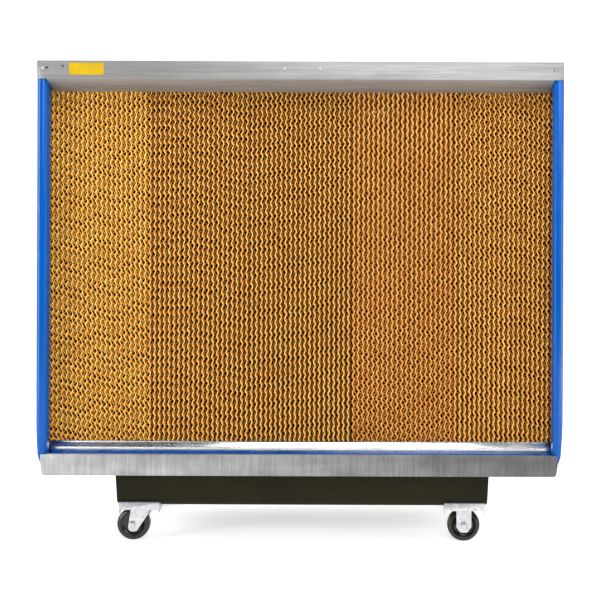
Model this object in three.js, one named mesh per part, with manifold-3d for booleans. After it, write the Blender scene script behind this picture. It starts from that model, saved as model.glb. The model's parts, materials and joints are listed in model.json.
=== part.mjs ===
// A wheeled evaporative cooler: a moulded cabinet with five wetted pads on its intake side, a fan on
// its discharge side, and a water tank on four castors underneath.
// Millimetres, +Z up. The intake side faces -Y, the fan side +Y, and the floor is z = 0.
import * as THREE from 'three';
import { mergeVertices } from 'three/addons/utils/BufferGeometryUtils.js';
import Module from 'manifold-3d';

const wasm = await Module();
wasm.setup();

// Driving dimensions
const WIDTH = 1550;
const DEPTH = 710;
const HEIGHT = 1440;
const GAP = 0.3;

// Cabinet
const HALF = WIDTH / 2;
const WALL = 7;
const SHEET = 1.5;
const FACE_Y = 2 - DEPTH / 2;
const SHELL_FRONT = FACE_Y + SHEET + GAP;
const SHELL_REAR = 305;
const SHELL_TOP = HEIGHT - SHEET - GAP;
const SHELL_BOTTOM = 262;
const BEAD_WIDTH = 31;
const BEAD_DEPTH = 30;
const BEAD_BACK = SHELL_FRONT + BEAD_DEPTH;
const OPENING_HALF = HALF - BEAD_WIDTH;
const SILL = 286.5;
const BEAM_BOTTOM = 1396;
const RIB_END = 762;
const FLOOR_OPENING_HALF = 530;
const GROOVE_HEIGHTS = [500, 720, 940, 1160];

// Sheet-metal trim on the intake side
const FASCIA_HALF = 771;
const FASCIA_BOTTOM = 1387;
const LIP_DEPTH = 50;
const LIP_DROP = 24;
const FLANGE_DEPTH = 62;
const BOLT_Z = 1418;
const FASCIA_BOLTS = [['left', -753, 5], ['centre_a', -46, 3.5], ['centre_b', 57, 3.5]];
const RAIL_HALF = 757;
const RAIL_TOP = SILL + GAP + SHEET;
const RAIL_BOTTOM = 227;
const RAIL_TAPER = 5;
const RETAINER_LEFT = -749;
const RETAINER_RIGHT = 757;
const RETAINER_FOOT = -318;
const RETAINER_TOP = 320;
const RETAINER_BACK = -304.7;

// Pads
const PAD_COUNT = 5;
const PAD_WIDTH = 304.8;
const PAD_DEPTH = 150;
const PAD_FRONT = -303;
const PAD_BOTTOM = 290;
const PAD_TOP = 1385;
const PAD_BACK = PAD_FRONT + PAD_DEPTH;

// Fan and motor
const FAN_Z = 840;
const ORIFICE_RADIUS = 465;
const COLLAR_RADIUS = 492;
const COLLAR_BACK = 325;
const SLEEVE_FRONT = 235;
const BLADE_COUNT = 4;
const BLADE_ROOT = 96;
const BLADE_TIP = 455;
const BLADE_Y = 268;
const BLADE_PITCH = 28;
const HUB_RADIUS = 62;
const SHAFT_RADIUS = 9.5;
const GUARD_RADIUS = 478;
const GUARD_RINGS = [GUARD_RADIUS, 334, 194];
const GUARD_DISC = 64;
const GUARD_SPOKES = 8;
const MOTOR_RADIUS = 84;
const POST_X = 150;
const POST_BACK = 65;

// Tank
const TANK_HALF = 573;
const TANK_FRONT = -257;
const TANK_BACK = 240;
const TANK_BOTTOM = 112;
const TANK_TOP = SHELL_BOTTOM - GAP;
const TANK_WALL = 6;
const TANK_DRAFT = 7;
const TANK_FLOOR = TANK_BOTTOM + TANK_WALL;

// Castors
const CASTOR_X = 496.5;
const CASTOR_FRONT_Y = -220;
const CASTOR_REAR_Y = 186;
const WHEEL_RADIUS = 50;
const WHEEL_WIDTH = 30;
const WHEEL_FACETS = 24;
const AXLE_RADIUS = 6;
const TRAIL = 27;
const CHANNEL_WIDTH = 123;
const CHANNEL_TOP = 123.7;
const CHANNEL_SHEET = 3;
const SKIRT_BOTTOM = 91;
const SKIRT_MIDDLE = 106;
const GUSSET = 46;
const CHANNEL_FRONT = -262;
const CHANNEL_REAR = 238;
const FLANGE_BOTTOM = 101;
const FORK_PLATE = 3;
const FORK_TIP = 29;
const LEG_HALF = 30;
const CROWN_BOTTOM = 102;
const CROWN_TOP = 107;
const FORK_INSIDE = WHEEL_WIDTH / 2 + 3;

// Pump, pipes and valves
const PUMP_X = 330;
const PUMP_Y = -50;
const HOSE_RADIUS = 10;
const HEADER_RADIUS = 16;
const HEADER_Y = -230;
const HEADER_Z = 1407;
const RISER_X = 735;
const FLOAT_X = -430;
const DRAIN_X = 300;
const BOX_X = -595;
const BOX_BOTTOM = 900;
const BOX_TOP = 1120;
const BOX_HALF = 60;
const KNOB_Z = 1060;
const SWITCH_Z = 965;
const MOTOR_LEAD_Z = 1000;
const PUMP_LEAD_Z = 960;
const LEAD_HOLE = 9;
const FLOAT_Z = 215;
const DRAIN_Z = 142;
const SPOUT_HOLE = 11;

const FINISH = {
  blue: { color: 0x0b55c4, roughness: 0.42, metalness: 0 },
  stainless: { color: 0xb9bab8, roughness: 0.35, metalness: 1 },
  polished: { color: 0xd2d6da, roughness: 0.15, metalness: 1 },
  cellulose: { color: 0xc8892f, roughness: 0.9, metalness: 0 },
  tank: { color: 0x35332a, roughness: 0.5, metalness: 0 },
  zinc: { color: 0xc4c6c8, roughness: 0.4, metalness: 1 },
  tyre: { color: 0x17180f, roughness: 0.35, metalness: 0 },
  black: { color: 0x1d1e20, roughness: 0.5, metalness: 0 },
  motor: { color: 0x3c4248, roughness: 0.45, metalness: 0.4 },
  white: { color: 0xe4e4e0, roughness: 0.5, metalness: 0 },
  brass: { color: 0xb8923c, roughness: 0.3, metalness: 1 },
  grey: { color: 0x8d9196, roughness: 0.5, metalness: 0 },
  rubber: { color: 0x141414, roughness: 0.8, metalness: 0 },
};

const BASIS = {
  x: new THREE.Matrix4().makeBasis(
    new THREE.Vector3(0, 1, 0), new THREE.Vector3(0, 0, 1), new THREE.Vector3(1, 0, 0)),
  y: new THREE.Matrix4().makeBasis(
    new THREE.Vector3(1, 0, 0), new THREE.Vector3(0, 0, 1), new THREE.Vector3(0, -1, 0)),
  z: new THREE.Matrix4(),
};

// Booleans on closed geometries

function toSolid(geometry) {
  const bare = geometry.clone();
  bare.deleteAttribute('normal');
  bare.deleteAttribute('uv');
  const merged = mergeVertices(bare, 1e-3);
  const corners = merged.index.array;
  const kept = [];
  for (let i = 0; i < corners.length; i += 3) {
    const [a, b, c] = [corners[i], corners[i + 1], corners[i + 2]];
    if (a !== b && b !== c && c !== a) kept.push(a, b, c);
  }
  const mesh = new wasm.Mesh({
    numProp: 3,
    vertProperties: merged.attributes.position.array,
    triVerts: Uint32Array.from(kept),
  });
  return new wasm.Manifold(mesh);
}

function toGeometry(solid) {
  const mesh = solid.getMesh();
  const geometry = new THREE.BufferGeometry();
  geometry.setAttribute('position', new THREE.BufferAttribute(Float32Array.from(mesh.vertProperties), 3));
  geometry.setIndex(Array.from(mesh.triVerts));
  const flat = geometry.toNonIndexed();
  flat.computeVertexNormals();
  return flat;
}

function join(...geometries) {
  return toGeometry(geometries.map(toSolid).reduce((whole, piece) => whole.add(piece)));
}

function cut(base, ...tools) {
  return toGeometry(tools.map(toSolid).reduce((whole, tool) => whole.subtract(tool), toSolid(base)));
}

function common(...geometries) {
  return toGeometry(geometries.map(toSolid).reduce((whole, piece) => whole.intersect(piece)));
}

// Shapes

// Turns corners [u, v, radius] into an outline whose corners are arcs.
function outline(corners, steps = 5) {
  const points = [];
  corners.forEach(([u, v, radius = 0], i) => {
    const corner = new THREE.Vector2(u, v);
    if (radius === 0) {
      points.push(corner);
      return;
    }
    const previous = corners[(i + corners.length - 1) % corners.length];
    const next = corners[(i + 1) % corners.length];
    const back = new THREE.Vector2(previous[0], previous[1]).sub(corner).normalize();
    const ahead = new THREE.Vector2(next[0], next[1]).sub(corner).normalize();
    const half = Math.acos(back.dot(ahead)) / 2;
    const inward = back.clone().add(ahead).normalize();
    const centre = corner.clone().addScaledVector(inward, radius / Math.sin(half));
    const start = corner.clone().addScaledVector(back, radius / Math.tan(half)).sub(centre).angle();
    const end = corner.clone().addScaledVector(ahead, radius / Math.tan(half)).sub(centre).angle();
    const turn = Math.atan2(Math.sin(end - start), Math.cos(end - start));
    for (let k = 0; k <= steps; k += 1) {
      const angle = start + (turn * k) / steps;
      points.push(new THREE.Vector2(Math.cos(angle), Math.sin(angle)).multiplyScalar(radius).add(centre));
    }
  });
  return points;
}

// Extrudes an outline along an axis. Its coordinates are (y, z) for x, (x, z) for y and (x, y) for z.
function prism(points, axis, from, to) {
  const geometry = new THREE.ExtrudeGeometry(new THREE.Shape(points), {
    depth: to - from,
    bevelEnabled: false,
  });
  geometry.translate(0, 0, axis === 'y' ? -to : from);
  return geometry.applyMatrix4(BASIS[axis]);
}

function block(x0, x1, y0, y1, z0, z1) {
  const geometry = new THREE.BoxGeometry(x1 - x0, y1 - y0, z1 - z0);
  return geometry.translate((x0 + x1) / 2, (y0 + y1) / 2, (z0 + z1) / 2);
}

// A round bar along an axis, through (a, b) in the two other axes in X, Y, Z order.
function rod(axis, radius, from, to, a = 0, b = 0, sides = 24, endRadius = radius) {
  const geometry = new THREE.CylinderGeometry(endRadius, radius, to - from, sides);
  geometry.translate(0, (from + to) / 2, 0);
  if (axis === 'x') return geometry.rotateZ(-Math.PI / 2).translate(0, a, b);
  if (axis === 'y') return geometry.translate(a, 0, b);
  return geometry.rotateX(Math.PI / 2).translate(a, b, 0);
}

// Turns a closed (radius, height) profile about the Y axis.
function turned(profile, segments, start = 0) {
  const points = profile.map(([radius, height]) => new THREE.Vector2(radius, height));
  return new THREE.LatheGeometry(points, segments, start);
}

function circleShape(radius, sides) {
  const points = [];
  for (let k = 0; k < sides; k += 1) {
    const angle = (2 * Math.PI * k) / sides;
    points.push(new THREE.Vector2(radius * Math.cos(angle), radius * Math.sin(angle)));
  }
  return new THREE.Shape(points);
}

function tube(route, radius, sides, steps) {
  const path = new THREE.CatmullRomCurve3(route.map((p) => new THREE.Vector3(...p)), false, 'centripetal');
  return new THREE.ExtrudeGeometry(circleShape(radius, sides), { steps, extrudePath: path });
}

function add(parent, name, geometry, finish) {
  const mesh = new THREE.Mesh(geometry, new THREE.MeshStandardMaterial(FINISH[finish]));
  mesh.name = name;
  parent.add(mesh);
  return mesh;
}

// Cabinet

// The cabinet's outer form, or its inner form with an inset: the overlap of three extruded outlines.
function cabinetForm(inset, front) {
  const half = HALF - inset;
  const bottom = SHELL_BOTTOM + inset;
  const top = SHELL_TOP - inset;
  const rear = SHELL_REAR - inset;
  const foot = half - (inset > 0 ? 4.5 : 9);
  const turn = inset > 0 ? 4 : 30;
  const across = prism(outline([
    [-half + 17, bottom, 8], [half - 17, bottom, 8], [foot, bottom + 23 - inset, turn],
    [half, bottom + 130, 120], [half, top, 12], [-half, top, 12],
    [-half, bottom + 130, 120], [-foot, bottom + 23 - inset, turn],
  ]), 'y', front, rear);
  const corner = inset > 0 ? 2 : 15;
  const plan = prism(outline([
    [-half, front, corner], [half, front, corner], [half, 110, 200],
    [half - 62, rear, 45 - inset], [-half + 62, rear, 45 - inset], [-half, 110, 200],
  ]), 'z', bottom, top);
  const side = prism(outline([
    [front, bottom], [rear, bottom, 30 - inset], [rear, top - 41, 45 - inset],
    [130, top, 200], [front, top],
  ]), 'x', -half, half);
  return common(across, plan, side);
}

// One of the rounded side beads that frame the intake; side is -1 or 1.
function bead(side) {
  const plan = outline([
    [side * OPENING_HALF, SHELL_FRONT, 14.5], [side * HALF, SHELL_FRONT, 14.5],
    [side * HALF, BEAD_BACK + 1], [side * OPENING_HALF, BEAD_BACK + 1, 3],
  ], 8);
  return prism(plan, 'z', SILL - 2, BEAM_BOTTOM + 2);
}

// Ribs on the floor that carry the pads, each with an upstand behind them.
function padRibs() {
  const ribs = [];
  const pitch = PAD_WIDTH / 2;
  for (let i = -PAD_COUNT; i <= PAD_COUNT; i += 1) {
    const x = Math.max(-RIB_END, Math.min(RIB_END, i * pitch));
    ribs.push(block(x - 5, x + 5, BEAD_BACK + 7.5, PAD_BACK + 14, SHELL_BOTTOM + 3, PAD_BOTTOM - GAP));
    ribs.push(block(x - 5, x + 5, PAD_BACK + GAP, PAD_BACK + 14, SHELL_BOTTOM + 3, PAD_BOTTOM + 35));
  }
  return ribs;
}

function fanCollar() {
  return join(
    rod('y', COLLAR_RADIUS, SHELL_REAR - WALL, COLLAR_BACK, 0, FAN_Z, 56),
    rod('y', ORIFICE_RADIUS + WALL, SLEEVE_FRONT, SHELL_REAR, 0, FAN_Z, 56),
  );
}

// Shallow moulded grooves that stiffen the side walls.
function sideGrooves() {
  const grooves = [];
  for (const z of GROOVE_HEIGHTS) {
    const slot = outline([[-260, z, 8], [60, z, 8], [60, z + 18, 8], [-260, z + 18, 8]], 3);
    grooves.push(prism(slot, 'x', HALF - 2.5, HALF + 5));
    grooves.push(prism(slot, 'x', -HALF - 5, -HALF + 2.5));
  }
  return grooves;
}

// A recess for the fascia's top flange.
function flangeSeat() {
  return block(-HALF - 5, HALF + 5, SHELL_FRONT - 5, FACE_Y + FLANGE_DEPTH + 2, SHELL_TOP - 0.5, HEIGHT + 5);
}

function leadHole(from, to, z) {
  return rod('y', LEAD_HOLE, from, to, BOX_X, z, 16);
}

function housing() {
  const outer = cabinetForm(0, SHELL_FRONT);
  const shell = cut(
    outer,
    cabinetForm(WALL, BEAD_BACK),
    block(-HALF - 5, HALF + 5, SHELL_FRONT - 5, BEAD_BACK + 1, SILL, BEAM_BOTTOM),
  );
  const body = join(
    shell,
    common(join(bead(-1), bead(1)), outer),
    block(-HALF + WALL - 1, HALF - WALL + 1, BEAD_BACK - 1, BEAD_BACK + 9, SHELL_BOTTOM + 3, SILL),
    ...padRibs(),
    fanCollar(),
  );
  return cut(
    body,
    rod('y', ORIFICE_RADIUS, SLEEVE_FRONT - 5, COLLAR_BACK + 5, 0, FAN_Z, 56),
    block(-FLOOR_OPENING_HALF, FLOOR_OPENING_HALF, PAD_BACK + 20, 25,
      SHELL_BOTTOM - 5, SHELL_BOTTOM + WALL + 5),
    flangeSeat(),
    leadHole(SHELL_REAR - WALL - 3, SHELL_REAR + 3, MOTOR_LEAD_Z),
    leadHole(SHELL_REAR - WALL - 3, SHELL_REAR + 3, PUMP_LEAD_Z),
    ...sideGrooves(),
  );
}

// Sheet-metal trim

// A folded sheet: a top flange, the face, and a lip that slopes inward between the side beads.
function topFascia() {
  const back = FACE_Y + SHEET;
  const lipEnd = FACE_Y + LIP_DEPTH;
  const sheet = prism([
    new THREE.Vector2(FACE_Y, HEIGHT), new THREE.Vector2(FACE_Y, FASCIA_BOTTOM),
    new THREE.Vector2(lipEnd, FASCIA_BOTTOM - LIP_DROP),
    new THREE.Vector2(lipEnd, FASCIA_BOTTOM - LIP_DROP + 1.2),
    new THREE.Vector2(back, FASCIA_BOTTOM + 0.4), new THREE.Vector2(back, HEIGHT - SHEET),
    new THREE.Vector2(FACE_Y + FLANGE_DEPTH, HEIGHT - SHEET),
    new THREE.Vector2(FACE_Y + FLANGE_DEPTH, HEIGHT),
  ], 'x', -FASCIA_HALF, FASCIA_HALF);
  const ends = [-1, 1].map((side) => {
    const [near, far] = [side * (OPENING_HALF - 1), side * (FASCIA_HALF + 5)].sort((p, q) => p - q);
    return block(near, far, FACE_Y - 5, lipEnd + 5, FASCIA_BOTTOM - 40, FASCIA_BOTTOM + 0.5);
  });
  return cut(sheet, ...ends);
}

function bottomRail() {
  const back = FACE_Y + SHEET;
  const sheet = prism([
    new THREE.Vector2(FACE_Y, RAIL_BOTTOM), new THREE.Vector2(FACE_Y + 22, RAIL_BOTTOM),
    new THREE.Vector2(FACE_Y + 22, RAIL_BOTTOM + SHEET), new THREE.Vector2(back, RAIL_BOTTOM + SHEET),
    new THREE.Vector2(back, RAIL_TOP - SHEET), new THREE.Vector2(FACE_Y + 14, RAIL_TOP - SHEET),
    new THREE.Vector2(FACE_Y + 14, RAIL_TOP), new THREE.Vector2(FACE_Y, RAIL_TOP),
  ], 'x', -RAIL_HALF, RAIL_HALF);
  const corners = prism(outline([
    [-RAIL_HALF + RAIL_TAPER, RAIL_BOTTOM, 9], [RAIL_HALF - RAIL_TAPER, RAIL_BOTTOM, 9],
    [RAIL_HALF, RAIL_BOTTOM + 34, 20], [RAIL_HALF, RAIL_TOP, 3],
    [-RAIL_HALF, RAIL_TOP, 3], [-RAIL_HALF, RAIL_BOTTOM + 34, 20],
  ]), 'y', FACE_Y - 5, FACE_Y + 30);
  const notches = [-1, 1].map((side) => {
    const [near, far] = [side * (OPENING_HALF - 2), side * (RAIL_HALF + 5)].sort((p, q) => p - q);
    return block(near, far, back, FACE_Y + 30, RAIL_BOTTOM + 20, RAIL_TOP + 5);
  });
  return cut(common(sheet, corners), ...notches);
}

// A bent strip that keeps the pads' feet back: an upright foot, a slope and a top edge against the
// pads. Its left end is cut at a slant.
function padRetainer() {
  const low = SILL + GAP;
  const bend = low + 17.5;
  const strip = prism([
    new THREE.Vector2(RETAINER_FOOT, low), new THREE.Vector2(RETAINER_FOOT + SHEET, low),
    new THREE.Vector2(RETAINER_FOOT + SHEET, bend - 0.6),
    new THREE.Vector2(RETAINER_BACK, RETAINER_TOP - 4.4), new THREE.Vector2(RETAINER_BACK, RETAINER_TOP),
    new THREE.Vector2(RETAINER_BACK - SHEET, RETAINER_TOP),
    new THREE.Vector2(RETAINER_BACK - SHEET, RETAINER_TOP - 3.8),
    new THREE.Vector2(RETAINER_FOOT, bend),
  ], 'x', RETAINER_LEFT, RETAINER_RIGHT);
  const slant = prism([
    new THREE.Vector2(RETAINER_LEFT - 5, low - 5), new THREE.Vector2(RETAINER_LEFT + 13, low - 5),
    new THREE.Vector2(RETAINER_LEFT, RETAINER_TOP + 1),
    new THREE.Vector2(RETAINER_LEFT - 5, RETAINER_TOP + 1),
  ], 'y', RETAINER_FOOT - 5, RETAINER_BACK + 5);
  return cut(strip, slant);
}

function padTopStop() {
  const front = PAD_BACK + GAP;
  const left = -HALF + WALL + 1;
  const right = RISER_X - HOSE_RADIUS - 8;
  return join(
    block(left, right, front, front + 2, PAD_TOP - 40, PAD_TOP),
    block(left, right, front, front + 24, PAD_TOP - 40, PAD_TOP - 38),
  );
}

function addTrim(parent) {
  add(parent, 'top_fascia', topFascia(), 'stainless');
  add(parent, 'bottom_rail', bottomRail(), 'stainless');
  add(parent, 'pad_retainer', padRetainer(), 'polished');
  add(parent, 'pad_top_stop', padTopStop(), 'zinc');
  for (const [name, x, radius] of FASCIA_BOLTS) {
    const head = rod('y', radius, -DEPTH / 2, FACE_Y - GAP, x, BOLT_Z, 16);
    add(parent, `fascia_bolt_${name}`, head, 'polished');
  }
}

function addPads(parent) {
  for (let i = 0; i < PAD_COUNT; i += 1) {
    const middle = (i - (PAD_COUNT - 1) / 2) * PAD_WIDTH;
    const half = PAD_WIDTH / 2 - GAP;
    const pad = block(-half, half, PAD_FRONT, PAD_BACK, PAD_BOTTOM, PAD_TOP);
    add(parent, `pad_${i + 1}`, pad, 'cellulose').position.x = middle;
  }
}

// Fan, built about its own centre

// A twisted plate from root to tip, with a round tip.
function fanBlade() {
  const length = BLADE_TIP - BLADE_ROOT;
  const plate = new THREE.BoxGeometry(length, 1, 1, 7, 1, 3);
  const place = plate.getAttribute('position');
  for (let i = 0; i < place.count; i += 1) {
    const along = place.getX(i) / length + 0.5;
    const across = place.getZ(i);
    const chord = 120 + 120 * Math.sin(Math.PI * Math.min(along, 0.75) * 0.667);
    const twist = Math.max(0, along - 0.3);
    const pitch = THREE.MathUtils.degToRad(BLADE_PITCH - 12 * twist);
    const side = across * chord;
    const camber = 10 * (1 - 4 * across * across) * Math.min(1, along * 3);
    const normal = place.getY(i) * 3 + camber;
    const radius = BLADE_ROOT + along * (Math.sqrt(BLADE_TIP ** 2 - side ** 2) - BLADE_ROOT);
    place.setXYZ(i, radius,
      side * Math.sin(pitch) + normal * Math.cos(pitch),
      side * Math.cos(pitch) - normal * Math.sin(pitch));
  }
  return plate;
}

// The hub with its arms: each arm lies flat against the root of a blade.
function fanHub() {
  const arms = [];
  for (let i = 0; i < BLADE_COUNT; i += 1) {
    const arm = new THREE.BoxGeometry(130, 5, 46);
    arm.translate(45 + 65, -2.5 - 1.5 - GAP, 0);
    arm.rotateX(-THREE.MathUtils.degToRad(BLADE_PITCH));
    arms.push(arm.rotateY((i * 2 * Math.PI) / BLADE_COUNT));
  }
  const boss = rod('y', HUB_RADIUS, -22, 20, 0, 0, 32);
  const nose = rod('y', 30, 19, 34, 0, 0, 32, 22);
  return cut(join(boss, nose, ...arms), rod('y', SHAFT_RADIUS + GAP, -30, 12, 0, 0, 24));
}

function addFan(parent) {
  const fan = new THREE.Group();
  fan.position.set(0, BLADE_Y, FAN_Z);
  add(fan, 'fan_hub', fanHub(), 'motor');
  for (let i = 0; i < BLADE_COUNT; i += 1) {
    add(fan, `fan_blade_${i + 1}`, fanBlade(), 'black').rotation.y = (i * 2 * Math.PI) / BLADE_COUNT;
  }
  add(fan, 'fan_shaft', rod('y', SHAFT_RADIUS, 206 - BLADE_Y, 11, 0, 0, 24), 'polished');
  parent.add(fan);
}

function fanGuard() {
  const domeY = (radius) => COLLAR_BACK + 6 + 18 * (1 - (radius / GUARD_RADIUS) ** 2);
  const wires = GUARD_RINGS.map((radius) => {
    const thickness = radius === GUARD_RADIUS ? 5 : 2.5;
    const ring = new THREE.TorusGeometry(radius, thickness, 5, 32);
    return ring.rotateX(Math.PI / 2).translate(0, domeY(radius), FAN_Z);
  });
  for (let i = 0; i < GUARD_SPOKES; i += 1) {
    const angle = ((i + 0.5) * 2 * Math.PI) / GUARD_SPOKES;
    const route = [GUARD_DISC - 6, 200, 340, GUARD_RADIUS].map((radius) => [
      radius * Math.cos(angle), domeY(radius), FAN_Z + radius * Math.sin(angle)]);
    wires.push(tube(route, 3, 5, 3));
  }
  return join(...wires, rod('y', GUARD_DISC, DEPTH / 2 - 10, DEPTH / 2, 0, FAN_Z, 32));
}

// Motor and the two posts that carry it

function motorBody() {
  const fins = [];
  for (let i = 0; i < 16; i += 1) {
    const fin = block(MOTOR_RADIUS - 3, MOTOR_RADIUS + 6, POST_BACK + 16, 190, -2, 2);
    fins.push(fin.rotateY((i * Math.PI) / 8).translate(0, 0, FAN_Z));
  }
  const body = rod('y', MOTOR_RADIUS, POST_BACK + 6.6, 205, 0, FAN_Z, 32);
  const lead = rod('x', 13, -MOTOR_RADIUS - 14, -MOTOR_RADIUS + 8, 120, FAN_Z, 16);
  return join(body, lead, ...fins);
}

function addMotor(parent) {
  for (const [name, x] of [['left', -POST_X], ['right', POST_X]]) {
    const low = SHELL_BOTTOM + WALL + GAP;
    const post = join(
      block(x - 20, x + 20, POST_BACK - 28, POST_BACK, low, SHELL_TOP - WALL - GAP),
      block(x - 34, x + 34, POST_BACK - 36, POST_BACK + 6, low, low + 4),
    );
    add(parent, `motor_post_${name}`, post, 'zinc');
  }
  const cradle = prism(outline([
    [-POST_X - 20, FAN_Z - 90, 12], [POST_X + 20, FAN_Z - 90, 12],
    [POST_X + 20, FAN_Z + 90, 12], [-POST_X - 20, FAN_Z + 90, 12],
  ]), 'y', POST_BACK + GAP, POST_BACK + 6.3);
  add(parent, 'motor_cradle', cradle, 'zinc');
  add(parent, 'motor_body', motorBody(), 'motor');
  const bell = join(
    rod('y', MOTOR_RADIUS - 2, 205.3, 214, 0, FAN_Z, 32),
    rod('y', 30, 213, 224, 0, FAN_Z, 24),
  );
  add(parent, 'motor_end_bell', cut(bell, rod('y', SHAFT_RADIUS + 0.6, 200, 230, 0, FAN_Z, 24)), 'motor');
}

// Controls on the fan side

function addControls(parent) {
  const back = SHELL_REAR + GAP;
  const plate = (inset) => outline([
    [BOX_X - BOX_HALF + inset, BOX_BOTTOM + inset, 10], [BOX_X + BOX_HALF - inset, BOX_BOTTOM + inset, 10],
    [BOX_X + BOX_HALF - inset, BOX_TOP - inset, 10], [BOX_X - BOX_HALF + inset, BOX_TOP - inset, 10],
  ]);
  const box = cut(prism(plate(0), 'y', back, back + 24), prism(plate(4), 'y', back + 4, back + 30),
    leadHole(back - 3, back + 8, MOTOR_LEAD_Z), leadHole(back - 3, back + 8, PUMP_LEAD_Z));
  add(parent, 'control_box', box, 'black');
  add(parent, 'control_cover', prism(plate(0), 'y', back + 24.3, back + 27.3), 'stainless');
  const knob = new THREE.Group();
  knob.position.set(BOX_X, back + 27.6, KNOB_Z);
  const grip = join(
    rod('y', 22, 0, 7, 0, 0, 32),
    rod('y', 16, 6, 19, 0, 0, 24, 14),
    block(-3, 3, 7, 19.5, -5, 17),
  );
  add(knob, 'speed_knob', grip, 'black');
  parent.add(knob);
  const rocker = new THREE.Group();
  rocker.position.set(BOX_X, back + 27.6, SWITCH_Z);
  const paddle = prism([
    new THREE.Vector2(0.9, -14), new THREE.Vector2(4, -14), new THREE.Vector2(5.2, 0),
    new THREE.Vector2(8.5, 14), new THREE.Vector2(3.6, 14), new THREE.Vector2(0.9, 0),
  ], 'x', -9, 9);
  add(rocker, 'pump_switch', paddle, 'black');
  parent.add(rocker);
  const gland = join(
    rod('z', 12, BOX_BOTTOM - 16, BOX_BOTTOM - GAP, BOX_X, back + 13, 12),
    rod('z', 8, BOX_BOTTOM - 30, BOX_BOTTOM - 15, BOX_X, back + 13, 16),
  );
  add(parent, 'cord_gland', gland, 'black');
}

// Tank

function tankForm(inset, top) {
  const half = TANK_HALF - inset;
  const bottom = TANK_BOTTOM + inset;
  const front = prism(outline([
    [-half + TANK_DRAFT, bottom, 16], [half - TANK_DRAFT, bottom, 16], [half, top], [-half, top],
  ]), 'y', TANK_FRONT + inset, TANK_BACK - inset);
  const side = prism(outline([
    [TANK_FRONT + inset + 7, bottom, 14], [TANK_BACK - inset - 7, bottom, 14],
    [TANK_BACK - inset, top], [TANK_FRONT + inset, top],
  ]), 'x', -half, half);
  return common(front, side);
}

function waterTank() {
  const recess = (x, inset) => block(
    x - CHANNEL_WIDTH / 2 - 2 - inset, x + CHANNEL_WIDTH / 2 + 2 + inset,
    TANK_FRONT - 20, TANK_BACK + 20, TANK_BOTTOM - 10, CHANNEL_TOP + GAP + inset);
  const cavity = cut(
    tankForm(TANK_WALL, TANK_TOP + 10), recess(-CASTOR_X, TANK_WALL), recess(CASTOR_X, TANK_WALL));
  const rim = block(-TANK_HALF - 12, TANK_HALF + 12, TANK_FRONT - 12, TANK_BACK + 12, TANK_TOP - 6, TANK_TOP);
  return cut(join(tankForm(0, TANK_TOP), rim), cavity, recess(-CASTOR_X, 0), recess(CASTOR_X, 0),
    rod('y', SPOUT_HOLE, TANK_BACK - 20, TANK_BACK + 20, FLOAT_X, FLOAT_Z, 16),
    rod('y', SPOUT_HOLE, TANK_BACK - 20, TANK_BACK + 20, DRAIN_X, DRAIN_Z, 16));
}

// Castors

// A tray under the tank: its skirt hangs down on both sides, deeper in a gusset at each end, and its
// end flanges close it.
function castorChannel() {
  const half = CHANNEL_WIDTH / 2;
  const t = CHANNEL_SHEET;
  const skirt = [
    [CHANNEL_FRONT, SKIRT_BOTTOM], [CHANNEL_FRONT + GUSSET, SKIRT_MIDDLE],
    [CHANNEL_REAR - GUSSET, SKIRT_MIDDLE], [CHANNEL_REAR, SKIRT_BOTTOM],
    [CHANNEL_REAR, CHANNEL_TOP], [CHANNEL_FRONT, CHANNEL_TOP],
  ].map(([y, z]) => new THREE.Vector2(y, z));
  return join(
    block(-half, half, CHANNEL_FRONT, CHANNEL_REAR, CHANNEL_TOP - t, CHANNEL_TOP),
    prism(skirt, 'x', -half, -half + t),
    prism(skirt, 'x', half - t, half),
    block(-half, half, CHANNEL_FRONT, CHANNEL_FRONT + t, FLANGE_BOTTOM, CHANNEL_TOP),
    block(-half, half, CHANNEL_REAR - t, CHANNEL_REAR, FLANGE_BOTTOM, CHANNEL_TOP),
  );
}

function forkLegs(profile) {
  const near = prism(profile, 'y', -FORK_INSIDE - FORK_PLATE, -FORK_INSIDE);
  const far = prism(profile, 'y', FORK_INSIDE, FORK_INSIDE + FORK_PLATE);
  return [near, far];
}

function axleHole(x) {
  return rod('y', AXLE_RADIUS + GAP, -40, 40, x, WHEEL_RADIUS, 16);
}

function swivelPlate() {
  const top = CHANNEL_TOP - CHANNEL_SHEET - GAP;
  return join(
    block(-48, 48, -32, 32, top - 3, top),
    rod('z', 34, CROWN_TOP + GAP, top - 2, 0, 0, 24, 30),
    rod('z', 5, CROWN_BOTTOM, CROWN_TOP + 2, 0, 0, 12),
  );
}

function swivelFork() {
  const leg = outline([
    [-LEG_HALF, CROWN_TOP, 3], [LEG_HALF, CROWN_TOP, 6], [23, 84, 20], [-TRAIL + 13, FORK_TIP, 11],
    [-TRAIL - 13, FORK_TIP, 11],
  ], 4);
  const crown = rod('z', 36, CROWN_BOTTOM, CROWN_TOP, 0, 0, 24, 33);
  const bridge = block(-32, 24, -FORK_INSIDE - 1, FORK_INSIDE + 1, CROWN_BOTTOM, CROWN_TOP);
  return cut(join(crown, bridge, ...forkLegs(leg)), rod('z', 5 + GAP, 90, 110, 0, 0, 12), axleHole(-TRAIL));
}

function rigidFork() {
  const top = CHANNEL_TOP - CHANNEL_SHEET - GAP;
  const leg = outline([
    [-23, top - 1], [23, top - 1], [23, WHEEL_RADIUS - 4, 8], [11, FORK_TIP, 9], [-11, FORK_TIP, 9],
    [-23, WHEEL_RADIUS - 4, 8],
  ], 4);
  const plate = block(-48, 48, -32, 32, top - 3, top);
  return cut(join(plate, ...forkLegs(leg)), axleHole(0));
}

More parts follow.
